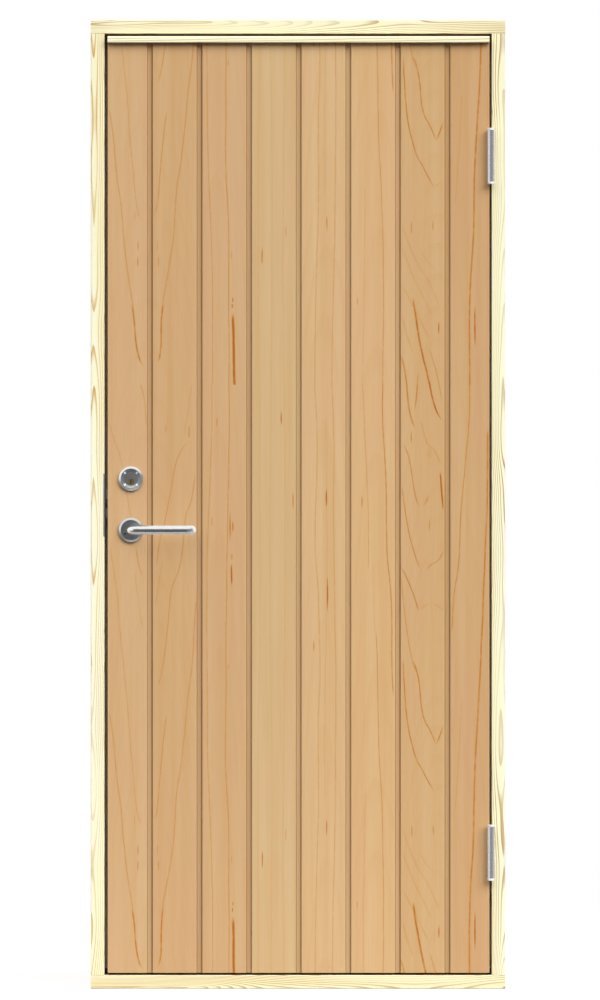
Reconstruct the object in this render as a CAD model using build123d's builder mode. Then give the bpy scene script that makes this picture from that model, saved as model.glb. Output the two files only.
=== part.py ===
"""Shed door set: a board-faced leaf hung on two lift-off hinges in a rebated pine frame.

Millimetres. +X runs towards the hinges, +Y into the building, +Z up. The origin is the
middle of the sill's underside, so the weather side of the frame is at y = -frame_depth / 2.
"""

import os

from build123d import *

# Frame
frame_width = 890.0
frame_height = 2080.0
frame_depth = 92.0
member_face = 29.0  # width of each frame member seen from the front
stop_width = 13.0  # how far the stop stands in past the rebate
timber_arris = 1.5  # rounding along the timber's corners

# Leaf, from the weather side inwards
board_thickness = 16.0
stile_thickness = 26.0
panel_thickness = 6.0
stile_width = 100.0
rail_height = 110.0

# Gaps around the closed leaf
gap_lock = 7.2
gap_hinge = 5.0
gap_top = 5.5
gap_bottom = 5.0
seal_room = 4.0  # between the leaf's back and the stop
seal_clearance = 0.5
seal_width = 12.0

# Face boards
board_count = 8
edge_board = 90.4  # leaf's edge to the middle of the first groove
groove_floor = 7.0
groove_side = 3.5  # width of each sloping side, seen from the front
groove_depth = 4.5
board_arris = 0.8
panel_groove_depth = 2.5  # the inner panel's grooves lie behind the boards'

# Drip strip across the top of the leaf
strip_height = 14.0
strip_projection = 12.0
strip_slope = 3.5  # fall of its top towards the front
drip_kerf = 2.5
kerf_inset = 3.0

# Hinges
hinge_from_end = 292.5  # middle of each hinge from the frame's top and bottom
hinge_proud = 12.0  # pin axis in front of the frame's face
hinge_aside = 1.0  # pin axis from the middle of the gap, towards the post
knuckle_radius = 7.2
knuckle_length = 55.0
knuckle_gap = 0.4
hinge_cap_radius = 7.7
hinge_cap_length = 5.0
hinge_cap_round = 1.0
pin_radius = 4.0
pin_length = 48.0
pin_clearance = 0.06
hinge_plate = 2.5
hinge_plate_depth = 36.0

# Lock, measured from the lever's axis
lever_height = 985.0
backset = 50.0
plug_above_lever = 102.8
cylinder_above_plug = 7.5
dead_bolt_above_lever = 76.0
latch_above_lever = 37.0
bolt_height = 20.0
bolt_thickness = 11.0
bolt_length = 32.0
bolt_projection = 5.0  # out of the forend at rest
bolt_clearance = 0.5
latch_bevel = 4.0
forend_thickness = 3.0
forend_width = 22.0
forend_height = 235.0
forend_below_lever = 65.0
case_depth = 82.0
case_thickness = 16.0
case_height = 185.0
case_below_lever = 40.0
spindle_size = 8.0
spindle_bore_radius = 6.5

# Strike plate in the lock post
strike_thickness = 2.5
strike_depth = 46.0
strike_height = 135.0
strike_below_lever = 14.0
strike_hole_margin = 2.0  # around each bolt
strike_pocket = 14.0

# Roses and lever
rose_radius = 26.2
rose_thickness = 8.0
rose_edge = 5.0  # straight part of the rim
rose_bevel = 4.5
rose_dish = 0.8
lever_radius = 9.4
lever_clearance = 0.3
lever_reach = 130.5  # neck axis to the returned end's axis
lever_projection = 50.0  # bar axis in front of the leaf
lever_bend = 15.0
lever_end_gap = 18.0  # returned end to the leaf
lever_end_round = 2.0
lever_seat_gap = 0.5

# Lock cylinder and its key plug
cylinder_radius = 15.0
cylinder_clearance = 0.2
cylinder_dish = 1.5  # face of the cylinder behind the rose's flat
spanner_slot_width = 4.4
spanner_slot_length = 6.5
spanner_slot_depth = 1.2
spanner_slot_count = 4
spanner_slot_angle = 45.0  # of the first slot, from level
plug_radius = 6.5
plug_clearance = 0.1
plug_length = 14.0
plug_recess = 1.0
keyway_width = 2.4
keyway_height = 8.0
keyway_depth = 10.0

# Holes for the frame screws, in pairs about the middle of each post
screw_hole_radius = 7.0
screw_hole_inset = 22.0  # from the frame's front
screw_pair_outer = 1780.0
screw_pair_inner = 680.0

# Places that follow from the sizes above
left, right = -frame_width / 2, frame_width / 2
front, back = -frame_depth / 2, frame_depth / 2
leaf_thickness = board_thickness + stile_thickness + panel_thickness
board_back = front + board_thickness
core_back = board_back + stile_thickness
leaf_back = front + leaf_thickness
core_middle = (board_back + core_back) / 2
stop_face = leaf_back + seal_room
rebate_left, rebate_right = left + member_face, right - member_face
rebate_bottom, rebate_top = member_face, frame_height - member_face
stop_left, stop_right = rebate_left + stop_width, rebate_right - stop_width
stop_bottom, stop_top = rebate_bottom + stop_width, rebate_top - stop_width
leaf_left, leaf_right = rebate_left + gap_lock, rebate_right - gap_hinge
leaf_bottom, leaf_top = rebate_bottom + gap_bottom, rebate_top - gap_top
leaf_width, leaf_height = leaf_right - leaf_left, leaf_top - leaf_bottom
first_groove = leaf_left + edge_board
board_pitch = (leaf_width - 2 * edge_board) / (board_count - 2)
pin_x, pin_y = (leaf_right + rebate_right) / 2 + hinge_aside, front - hinge_proud
lever_x = leaf_left + backset
plug_height = lever_height + plug_above_lever
cylinder_height = plug_height + cylinder_above_plug
bolt_heights = {
    "dead_bolt": lever_height + dead_bolt_above_lever,
    "latch_bolt": lever_height + latch_above_lever,
}
cylinder_bore_radius = cylinder_radius + cylinder_clearance
rose_flat = rose_thickness - rose_dish
cylinder_face = rose_flat - cylinder_dish
hinge_heights = {"bottom": hinge_from_end, "top": frame_height - hinge_from_end}
case_front = core_middle - case_thickness / 2
case_back = core_middle + case_thickness / 2

LOW = (Align.MIN, Align.MIN, Align.MIN)
STANDING = (Align.CENTER, Align.CENTER, Align.MIN)
os.makedirs("parts", exist_ok=True)


def save(builder, name):
    """Labels a finished piece and writes it as one STEP file."""
    builder.part.label = name
    export_step(builder.part, f"parts/{name}.step")


def block(x0, x1, y0, y1, z0, z1, mode=Mode.ADD):
    """A block between two corners, in the piece that is being built."""
    with Locations((x0, y0, z0)):
        Box(x1 - x0, y1 - y0, z1 - z0, align=LOW, mode=mode)


def post_round(z0, length, radius, mode=Mode.ADD):
    """An upright cylinder on the hinge pins' axis, in the piece that is being built."""
    with Locations((pin_x, pin_y, z0)):
        Cylinder(radius, length, align=STANDING, mode=mode)


def cross_round(z, radius, y0, y1, mode=Mode.SUBTRACT):
    """A cylinder across the leaf in line with the lever, in the piece that is being built."""
    with Locations(Plane(origin=(lever_x, y0, z), z_dir=(0, 1, 0))):
        Cylinder(radius, y1 - y0, align=STANDING, mode=mode)


def bolt_room(z, x0, x1, margin, mode=Mode.SUBTRACT):
    """A bolt's block from x0 to x1, or the space round it, with the same margin on all four sides."""
    half_y, half_z = bolt_thickness / 2 + margin, bolt_height / 2 + margin
    block(x0, x1, core_middle - half_y, core_middle + half_y, z - half_z, z + half_z, mode)


# Plates let into the timber, each written once as the block that it fills
def leaf_hinge_plate(z_mid, mode=Mode.ADD):
    x0, half = leaf_right - hinge_plate, knuckle_length + knuckle_gap / 2
    block(x0, leaf_right, front, front + hinge_plate_depth, z_mid - half, z_mid + half, mode)


def frame_hinge_plate(z_mid, mode=Mode.ADD):
    x1, half = rebate_right + hinge_plate, knuckle_length + knuckle_gap / 2
    block(rebate_right, x1, front, front + hinge_plate_depth, z_mid - half, z_mid + half, mode)


def strike_block(mode=Mode.ADD):
    z0, x0 = lever_height - strike_below_lever, rebate_left - strike_thickness
    block(x0, rebate_left, front, front + strike_depth, z0, z0 + strike_height, mode)


def forend_block(mode=Mode.ADD):
    z0, half = lever_height - forend_below_lever, forend_width / 2
    x1 = leaf_left + forend_thickness
    block(leaf_left, x1, core_middle - half, core_middle + half, z0, z0 + forend_height, mode)


def case_block(mode=Mode.ADD):
    z0, x0 = lever_height - case_below_lever, leaf_left + forend_thickness
    block(x0, x0 + case_depth, case_front, case_back, z0, z0 + case_height, mode)


# Frame timbers: an L-shaped section with a rebate for the leaf and a stop behind it
def timber_section(outer, rebate, stop):
    """The section as (across the member, into the building), with its shown corners eased."""
    with BuildSketch() as section:
        with BuildLine():
            Polyline(
                (outer, front),
                (rebate, front),
                (rebate, stop_face),
                (stop, stop_face),
                (stop, back),
                (outer, back),
                close=True,
            )
        make_face()
        inner_corner = section.vertices().sort_by_distance((rebate, stop_face))[0]
        fillet([v for v in section.vertices() if v != inner_corner], timber_arris)
    return section.sketch


def rail_timber(outer, rebate, stop):
    """The head or the sill, which runs the full width."""
    section = timber_section(outer, rebate, stop)
    along = Plane(origin=(right, 0, 0), x_dir=(0, 0, 1), z_dir=(-1, 0, 0))
    with BuildPart() as timber:
        with BuildSketch(along):
            add(section)
        extrude(amount=frame_width)
    return timber


def post_timber(outer, rebate, stop):
    """A post between sill and head, stepped at both ends where their stops pass behind it."""
    section = timber_section(outer, rebate, stop)
    low, high = min(outer, stop), max(outer, stop)
    middle = frame_height / 2
    halves = (screw_pair_outer / 2, screw_pair_inner / 2)
    with BuildPart() as timber:
        with BuildSketch(Plane.XY.offset(rebate_bottom)):
            add(section)
        extrude(amount=rebate_top - rebate_bottom)
        block(low, high, stop_face, back, rebate_bottom, stop_bottom, Mode.SUBTRACT)
        block(low, high, stop_face, back, stop_top, rebate_top, Mode.SUBTRACT)
        for z in [middle + sign * half for half in halves for sign in (-1, 1)]:
            with Locations(Plane(origin=(low, front + screw_hole_inset, z), z_dir=(1, 0, 0))):
                Cylinder(screw_hole_radius, high - low, align=STANDING, mode=Mode.SUBTRACT)
    return timber


save(rail_timber(frame_height, rebate_top, stop_top), "frame_head")
save(rail_timber(0, rebate_bottom, stop_bottom), "frame_sill")

lock_post = post_timber(left, rebate_left, stop_left)
with BuildPart() as frame_lock_post:
    add(lock_post.part)
    strike_block(Mode.SUBTRACT)
    for z in bolt_heights.values():
        bolt_room(z, rebate_left - strike_thickness - strike_pocket, rebate_left, strike_hole_margin)
save(frame_lock_post, "frame_lock_post")

hinge_post = post_timber(right, rebate_right, stop_right)
with BuildPart() as frame_hinge_post:
    add(hinge_post.part)
    for z in hinge_heights.values():
        frame_hinge_plate(z, Mode.SUBTRACT)
save(frame_hinge_post, "frame_hinge_post")

# Rubber seals on the stops, just clear of the closed leaf
seal_front = leaf_back + seal_clearance
seal_low, seal_high = rebate_bottom + seal_width, rebate_top - seal_width
seal_spans = {
    "seal_head": (rebate_left, rebate_right, seal_high, rebate_top),
    "seal_sill": (rebate_left, rebate_right, rebate_bottom, seal_low),
    "seal_lock_side": (rebate_left, rebate_left + seal_width, seal_low, seal_high),
    "seal_hinge_side": (rebate_right - seal_width, rebate_right, seal_low, seal_high),
}
for name, (x0, x1, z0, z1) in seal_spans.items():
    with BuildPart() as seal:
        block(x0, x1, seal_front, stop_face, z0, z1)
    save(seal, name)

# Strike plate, flush with the rebate, with a hole for each bolt
with BuildPart() as strike_plate:
    strike_block()
    for z in bolt_heights.values():
        bolt_room(z, rebate_left - strike_thickness, rebate_left, strike_hole_margin)
save(strike_plate, "strike_plate")


# Face boards: each carries the floor of the groove on its right, and the next one butts against it
def board_section(number):
    """A board's section as (x, y), with the corners of its face eased."""
    floor_y = front + groove_depth
    if number == 1:
        left_side = [(leaf_left, board_back), (leaf_left, front)]
    else:
        joint = first_groove + board_pitch * (number - 2) + groove_floor / 2
        left_side = [(joint, board_back), (joint, floor_y), (joint + groove_side, front)]
    if number == board_count:
        right_side = [(leaf_right, front), (leaf_right, board_back)]
    else:
        groove = first_groove + board_pitch * (number - 1)
        near, far = groove - groove_floor / 2, groove + groove_floor / 2
        right_side = [(near - groove_side, front), (near, floor_y), (far, floor_y), (far, board_back)]
    with BuildSketch() as section:
        with BuildLine():
            Polyline(*left_side, *right_side, close=True)
        make_face()
        fillet(section.vertices().group_by(Axis.Y)[0], board_arris)
    return section.sketch


for number in range(1, board_count + 1):
    section = board_section(number)
    with BuildPart() as board:
        with BuildSketch(Plane.XY.offset(leaf_bottom)):
            add(section)
        extrude(amount=leaf_height)
        if number == 1:
            cross_round(lever_height, spindle_bore_radius, front, board_back)
            cross_round(cylinder_height, cylinder_bore_radius, front, board_back)
        if number == board_count:
            for z in hinge_heights.values():
                leaf_hinge_plate(z, Mode.SUBTRACT)
    save(board, f"board_{number}")

# Drip strip: a sloping top, a square nose and a kerf underneath
nose, strip_bottom = front - strip_projection, leaf_top - strip_height
kerf_start, kerf_end = nose + kerf_inset, nose + kerf_inset + drip_kerf
with BuildPart() as drip_strip:
    with BuildSketch(Plane(origin=(leaf_right, 0, 0), x_dir=(0, 0, 1), z_dir=(-1, 0, 0))):
        with BuildLine():
            Polyline(
                (leaf_top, front),
                (leaf_top - strip_slope, nose),
                (strip_bottom, nose),
                (strip_bottom, kerf_start),
                (strip_bottom + drip_kerf, kerf_start),
                (strip_bottom + drip_kerf, kerf_end),
                (strip_bottom, kerf_end),
                (strip_bottom, front),
                close=True,
            )
        make_face()
    extrude(amount=leaf_width)
    fillet(drip_strip.edges().filter_by(Axis.X).group_by(Axis.Y)[0], board_arris)
save(drip_strip, "drip_strip")

# Stiles and rails behind the boards, and the panel inside
with BuildPart() as leaf_lock_stile:
    block(leaf_left, leaf_left + stile_width, board_back, core_back, leaf_bottom, leaf_top)
    forend_block(Mode.SUBTRACT)
    case_block(Mode.SUBTRACT)
    cross_round(lever_height, spindle_bore_radius, board_back, core_back)
    cross_round(cylinder_height, cylinder_bore_radius, board_back, case_front)
save(leaf_lock_stile, "leaf_lock_stile")

with BuildPart() as leaf_hinge_stile:
    block(leaf_right - stile_width, leaf_right, board_back, core_back, leaf_bottom, leaf_top)
    for z in hinge_heights.values():
        leaf_hinge_plate(z, Mode.SUBTRACT)
save(leaf_hinge_stile, "leaf_hinge_stile")

rail_left, rail_right = leaf_left + stile_width, leaf_right - stile_width
rail_spans = {
    "leaf_top_rail": (leaf_top - rail_height, leaf_top),
    "leaf_bottom_rail": (leaf_bottom, leaf_bottom + rail_height),
}
for name, (z0, z1) in rail_spans.items():
    with BuildPart() as leaf_rail:
        block(rail_left, rail_right, board_back, core_back, z0, z1)
    save(leaf_rail, name)

half_floor, half_mouth = groove_floor / 2, groove_floor / 2 + groove_side
groove_back = leaf_back - panel_groove_depth
panel_outline = [(leaf_left, core_back), (leaf_left, leaf_back)]
for number in range(board_count - 1):
    groove = first_groove + board_pitch * number
    panel_outline += [(groove - half_mouth, leaf_back), (groove - half_floor, groove_back)]
    panel_outline += [(groove + half_floor, groove_back), (groove + half_mouth, leaf_back)]
panel_outline += [(leaf_right, leaf_back), (leaf_right, core_back)]
with BuildPart() as leaf_inner_panel:
    with BuildSketch(Plane.XY.offset(leaf_bottom)):
        with BuildLine():
            Polyline(*panel_outline, close=True)
        make_face()
    extrude(amount=leaf_height)
    cross_round(lever_height, spindle_bore_radius, core_back, leaf_back)
save(leaf_inner_panel, "leaf_inner_panel")


# Lift-off hinges: the frame's half carries the pin, and the leaf's half drops over it
def hinge_cap(z0):
    """The rounded cap on the end of a knuckle."""
    with BuildPart() as cap:
        post_round(z0, hinge_cap_length, hinge_cap_radius)
        fillet(cap.edges().filter_by(GeomType.CIRCLE), hinge_cap_round)
    return cap


for place, z_mid in hinge_heights.items():
    upper, lower = z_mid + knuckle_gap / 2, z_mid - knuckle_gap / 2 - knuckle_length
    top_cap, bottom_cap = hinge_cap(upper + knuckle_length), hinge_cap(lower - hinge_cap_length)
    with BuildPart() as leaf_half:
        leaf_hinge_plate(z_mid)
        block(leaf_right - hinge_plate, leaf_right, pin_y, front, upper, upper + knuckle_length)
        post_round(upper, knuckle_length, knuckle_radius)
        add(top_cap.part)
        post_round(upper, pin_length + knuckle_gap, pin_radius + pin_clearance, Mode.SUBTRACT)
    save(leaf_half, f"hinge_{place}_leaf_half")
    with BuildPart() as frame_half:
        frame_hinge_plate(z_mid)
        block(rebate_right, rebate_right + hinge_plate, pin_y, front, lower, lower + knuckle_length)
        post_round(lower, knuckle_length, knuckle_radius)
        add(bottom_cap.part)
        post_round(lower, knuckle_length + pin_length, pin_radius)
    save(frame_half, f"hinge_{place}_frame_half")

# Lock case with its forend, and the two bolts that run in it
bolt_nose = leaf_left - bolt_projection
bolt_end = bolt_nose + bolt_length
with BuildPart() as lock_case:
    forend_block()
    case_block()
    for z in bolt_heights.values():
        bolt_room(z, leaf_left, bolt_end + bolt_projection + bolt_clearance, bolt_clearance)
    cross_round(lever_height, spindle_bore_radius, case_front, case_back)
save(lock_case, "lock_case")

for name, z in bolt_heights.items():
    with BuildPart() as bolt:
        bolt_room(z, bolt_nose, bolt_end, 0, Mode.ADD)
        if name == "latch_bolt":
            nose_edges = bolt.edges().filter_by(Axis.Z).group_by(Axis.X)[0]
            chamfer(nose_edges.sort_by(Axis.Y)[-1], latch_bevel)
    save(bolt, name)


# Roses, turned about a line across the leaf: a straight rim, a bevel and a step down to the face
def rose(side, z, hole, floor):
    """A rose at height z with a hole and the height of its face there; side is -1 outside, 1 inside."""
    face = front if side < 0 else leaf_back
    rim = rose_radius - rose_bevel
    with BuildPart() as turned:
        with BuildSketch(Plane(origin=(lever_x, face, z), x_dir=(1, 0, 0), z_dir=(0, 0, side))):
            with BuildLine():
                Polyline(
                    (hole, 0),
                    (rose_radius, 0),
                    (rose_radius, rose_edge),
                    (rim, rose_thickness),
                    (rim - rose_dish, rose_thickness),
                    (rim - rose_dish, rose_flat),
                    (hole, floor),
                    close=True,
                )
            make_face()
        revolve(axis=Axis((lever_x, face, z), (0, 1, 0)))
    return turned


lever_hole = lever_radius + lever_clearance
save(rose(-1, lever_height, lever_hole, rose_flat), "lever_rose_outside")
save(rose(1, lever_height, lever_hole, rose_flat), "lever_rose_inside")
save(rose(1, cylinder_height, 0, rose_flat), "blank_rose_inside")

plain_cylinder_rose = rose(-1, cylinder_height, cylinder_bore_radius, cylinder_face)
slot_middle = cylinder_bore_radius + spanner_slot_length / 2
with BuildPart() as cylinder_rose:
    add(plain_cylinder_rose.part)
    rose_plane = Plane(origin=(lever_x, front - rose_flat, cylinder_height), z_dir=(0, -1, 0))
    with BuildSketch(rose_plane):
        with PolarLocations(slot_middle, spanner_slot_count, start_angle=spanner_slot_angle):
            SlotOverall(spanner_slot_length, spanner_slot_width)
    extrude(amount=-(spanner_slot_depth + cylinder_dish), mode=Mode.SUBTRACT)
save(cylinder_rose, "cylinder_rose_outside")

# Lock cylinder back to the case, with the key plug below its middle
plug_face = front - cylinder_face + plug_recess
plug_end = plug_face + plug_length
plug_bore = plug_radius + plug_clearance
with BuildPart() as lock_cylinder:
    cross_round(cylinder_height, cylinder_radius, front - cylinder_face, case_front, Mode.ADD)
    cross_round(plug_height, plug_bore, front - cylinder_face, plug_end + plug_clearance)
save(lock_cylinder, "lock_cylinder")

with BuildPart() as key_plug:
    cross_round(plug_height, plug_radius, plug_face, plug_end, Mode.ADD)
    half_x, half_z = keyway_width / 2, keyway_height / 2
    block(
        lever_x - half_x,
        lever_x + half_x,
        plug_face,
        plug_face + keyway_depth,
        plug_height - half_z,
        plug_height + half_z,
        Mode.SUBTRACT,
    )
save(key_plug, "key_plug")


# Levers: a bent round bar with a returned end, on one square spindle
def lever(side):
    """The lever on one side of the leaf; side is -1 outside, 1 inside."""
    face = front if side < 0 else leaf_back
    seat, bar = face + side * lever_seat_gap, face + side * lever_projection
    end = face + side * lever_end_gap
    with BuildPart() as handle:
        with BuildLine(Plane.XY.offset(lever_height)) as path:
            FilletPolyline(
                (lever_x, seat),
                (lever_x, bar),
                (lever_x + lever_reach, bar),
                (lever_x + lever_reach, end),
                radius=lever_bend,
            )
        with BuildSketch(Plane(origin=(lever_x, seat, lever_height), z_dir=(0, side, 0))):
            Circle(lever_radius)
        sweep(path=path.wires()[0])
        free_end = handle.faces().filter_by(Axis.Y).sort_by(Axis.X)[-1]
        fillet(free_end.edges(), lever_end_round)
    return handle


save(lever(-1), "lever_outside")
save(lever(1), "lever_inside")

with BuildPart() as handle_spindle:
    half = spindle_size / 2
    spindle_start, spindle_end = front - lever_seat_gap, leaf_back + lever_seat_gap
    block(
        lever_x - half,
        lever_x + half,
        spindle_start,
        spindle_end,
        lever_height - half,
        lever_height + half,
    )
save(handle_spindle, "handle_spindle")
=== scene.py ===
import math

import bmesh
import bpy
import numpy as np
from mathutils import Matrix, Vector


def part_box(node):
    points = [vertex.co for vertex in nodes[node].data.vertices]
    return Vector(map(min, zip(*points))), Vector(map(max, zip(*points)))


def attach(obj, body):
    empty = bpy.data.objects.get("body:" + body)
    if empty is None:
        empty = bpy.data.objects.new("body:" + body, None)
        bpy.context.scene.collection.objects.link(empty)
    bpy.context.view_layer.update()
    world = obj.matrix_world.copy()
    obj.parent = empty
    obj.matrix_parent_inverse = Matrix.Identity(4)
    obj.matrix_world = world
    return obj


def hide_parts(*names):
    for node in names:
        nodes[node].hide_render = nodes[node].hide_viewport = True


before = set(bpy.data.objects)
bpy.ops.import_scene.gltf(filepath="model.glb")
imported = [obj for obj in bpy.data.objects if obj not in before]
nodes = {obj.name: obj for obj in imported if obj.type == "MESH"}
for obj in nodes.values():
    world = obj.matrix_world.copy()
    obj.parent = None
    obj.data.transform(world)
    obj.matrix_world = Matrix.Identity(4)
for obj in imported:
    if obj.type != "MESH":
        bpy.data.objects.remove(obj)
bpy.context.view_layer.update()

# Places taken from the frame. Lengths are metres unless a comment says mm. The outside face looks along -Y.
X, Y, Z = 0, 1, 2
lows = {name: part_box(name)[0] for name in nodes}
highs = {name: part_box(name)[1] for name in nodes}


def box_middle(name, axis):
    """The middle of a node's CAD box along one axis."""
    return (lows[name][axis] + highs[name][axis]) / 2


FACE_Y = lows["board_1"][Y]
INNER_FACE_Y = highs["leaf_inner_panel"][Y]
LEVER_X = box_middle("lever_rose_outside", X)
LEVER_Z = box_middle("lever_rose_outside", Z)
CYLINDER_Z = box_middle("cylinder_rose_outside", Z)
BOLT_Y = box_middle("dead_bolt", Y)
GROOVE_FLOOR = 0.007  # width of a groove's flat floor, which belongs to the board on its left
FIRST_GROOVE = highs["board_1"][X] - GROOVE_FLOOR / 2
BOARD_PITCH = highs["board_2"][X] - highs["board_1"][X]
HINGE_SPANS = {
    place: (lows[f"hinge_{place}_leaf_half"][Z], highs[f"hinge_{place}_frame_half"][Z])
    for place in ("bottom", "top")
}
HINGE_HEIGHTS = {place: (low + high) / 2 for place, (low, high) in HINGE_SPANS.items()}
HINGE_CAP = (HINGE_SPANS["top"][1] - HINGE_SPANS["top"][0]) / 2  # from a hinge's middle to its caps
FIGURE_REPEAT = 1.297  # the boards' figure comes round again after this height
MM = 1000.0  # in a metre
IMAGE_HEIGHT, IMAGE_ROWS = 2.1474, 1000  # of the picture: its height at the leaf's face, and its rows
ROW_MM = IMAGE_HEIGHT * MM / IMAGE_ROWS
MIDDLE_COLUMN, FOOT_ROW = 298.05, 988.9  # where the frame's middle and its foot lie in the photograph


# Colours
def tint(red, green, blue):
    """A screen colour of 0 to 255 as the linear colour that a shader takes."""
    part = np.array([red, green, blue]) / 255.0
    linear = np.where(part <= 0.04045, part / 12.92, ((part + 0.055) / 1.055) ** 2.4)
    return (*linear.tolist(), 1.0)


BOARD_TINTS = {
    1: (212, 174, 128), 2: (209, 169, 122), 3: (210, 171, 126), 4: (213, 179, 132),
    5: (217, 180, 133), 6: (218, 179, 130), 7: (211, 172, 123), 8: (209, 168, 121),
}
LINE_TINT = (201, 145, 77)
LINE_STRENGTH = {1: 0.78, 2: 0.82, 7: 1.15, 8: 1.15}  # share of a board's line strength, 1 where not given
LINE_BASE = 0.10  # added to every line's strength
LINE_WIDEN, FLECK_WIDEN = 1.2, 1.3  # times the half widths below
LINE_SWAY = 3.2  # slow sideways waver of lines and flecks in mm
STREAK_TINT = (180, 104, 38)
# painted shade for the grooves: the colour that darkens their sloping sides
GROOVE_SHADE_TINT = (197, 191, 183)
# painted highlight: the colour of the hinges' end caps
CAP_HIGHLIGHT_TINT = (240, 240, 240)

# Main grain lines of each board: strength, half width in mm, then (column, row) along it
GRAIN_LINES = {
    1: [
        (0.55, 1.2, [
            (109, 712), (113, 740), (117, 780), (121, 810), (124, 845), (128, 880), (133, 915),
            (135, 940), (137, 955), (143, 970),
        ]),
        (1.0, 1.3, [(132, 908), (134, 925), (135.5, 942), (138, 957), (143, 970)]),
        (0.45, 1.0, [
            (110, 545), (114, 572), (118, 600), (120, 632), (124, 670), (127, 700), (130, 740),
            (133, 775), (136, 805), (144, 826),
        ]),
        (0.4, 1.0, [(109, 420), (114, 440), (121, 460), (126, 490), (130, 512), (134, 535)]),
        (0.6, 1.1, [(136, 547), (139, 565), (144, 577)]),
        (0.35, 0.9, [(134, 570), (138, 595), (141, 620), (145, 632)]),
        (0.5, 1.1, [(142, 389), (145, 404), (146.5, 430)]),
    ],
    2: [
        (0.55, 1.2, [
            (196, 600), (195, 615), (193, 657), (187.5, 700), (185, 730), (181, 765), (176, 800),
            (174, 835), (170, 865), (166, 890), (162, 915), (161, 950), (155, 968),
        ]),
        (1.0, 1.3, [(163.5, 906), (162, 918), (161, 934), (161, 950), (156, 966)]),
        (0.6, 1.1, [
            (195, 475), (191.5, 500), (186.5, 515), (184, 535), (183, 545), (179, 570), (171.5, 590),
            (170, 600), (166.5, 637), (163, 665), (158, 687),
        ]),
        (0.6, 1.1, [(166.5, 715), (163, 745), (160, 775), (157.5, 807), (154, 820)]),
        (0.6, 1.1, [
            (189, 442), (181.5, 450), (174, 470), (170, 495), (165, 522), (159, 547), (156.5, 567),
        ]),
        (0.35, 1.0, [(191, 389), (188, 412), (184, 436)]),
        (0.4, 1.0, [(163, 560), (158, 590), (155, 610)]),
    ],
    3: [
        (0.4, 1.0, [
            (212, 389), (211.5, 450), (208, 525), (207, 600), (207.3, 700), (207.5, 750), (210, 815),
            (212, 865), (212.5, 989),
        ]),
        (0.5, 1.1, [
            (229, 389), (229, 462), (228, 500), (226.5, 600), (226, 700), (226, 775), (228, 815),
            (228.5, 870), (229, 989),
        ]),
        (1.2, 1.9, [(233, 918), (233.2, 930), (234, 960), (234.5, 989)]),
    ],
    4: [
        (0.15, 1.0, [(259, 389), (260, 600), (258, 800), (259, 989)]),
        (0.15, 1.1, [(271, 389), (270, 600), (272, 800), (271, 989)]),
        (0.18, 1.0, [(284, 389), (285, 620), (283, 820), (284, 989)]),
    ],
    5: [
        (0.35, 1.0, [
            (315, 389), (317, 450), (315.5, 537), (318.5, 600), (320, 675), (318.5, 710), (318.5, 810),
            (316, 885), (315, 989),
        ]),
        (0.35, 1.0, [
            (332, 389), (334, 450), (333.5, 525), (335, 600), (336, 675), (335, 835), (333, 910),
            (332, 989),
        ]),
        (0.2, 0.9, [(326, 420), (327, 520), (327, 600), (325, 700), (325, 800)]),
    ],
    6: [
        (0.35, 1.0, [(363, 389), (366, 462), (368.5, 525), (368.5, 570)]),
        (0.6, 1.1, [
            (383, 389), (382.5, 412), (385.5, 475), (387, 550), (391, 600), (392, 675), (393.5, 697),
        ]),
        (0.45, 1.0, [(376, 630), (377, 660), (378.5, 735), (382, 810), (383.5, 872), (383, 989)]),
        (0.25, 0.9, [(365, 790), (363.5, 910), (363, 989)]),
        (0.2, 0.9, [(373, 562), (375, 640)]),
    ],
    7: [
        (0.6, 1.1, [(403.5, 660), (406, 710), (413.5, 750), (423.5, 772), (433.5, 791)]),
        (0.5, 2.0, [(434, 791), (442, 786)]),
        (0.6, 1.1, [(412, 660), (418.5, 680), (422, 710), (431, 732), (436.5, 745)]),
        (0.6, 1.2, [(436.5, 745), (439, 738), (443.5, 726)]),
        (0.6, 1.1, [(401, 567), (413.5, 595), (418.5, 612)]),
        (0.5, 1.1, [(402, 487), (406, 517), (413.5, 550), (421, 570)]),
        (0.5, 1.5, [(426, 571), (431, 565), (438.5, 560), (443.5, 550)]),
        (0.5, 1.1, [(403.5, 445), (410, 462), (415, 495), (418.5, 507)]),
        (0.5, 1.4, [(419, 507), (426, 502), (428.5, 495)]),
        (0.4, 1.0, [(401, 575), (408.5, 642), (418.5, 677)]),
        (1.0, 1.3, [(440, 472), (443, 510)]),
        (0.3, 1.4, [(421, 420), (427, 443), (433.5, 449), (441, 466)]),
    ],
    8: [
        (0.5, 1.1, [
            (470, 389), (470, 400), (466, 455), (461, 512), (458.5, 562), (453.5, 600), (451.5, 632),
        ]),
        (0.62, 1.5, [
            (487.5, 430), (487, 500), (485, 562), (481, 650), (480, 675), (478.5, 710), (475.5, 760),
            (474, 797), (473.5, 835), (470, 905), (470, 989),
        ]),
        (0.25, 0.9, [(462, 697), (458.5, 760), (455, 810)]),
    ],
}
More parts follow.
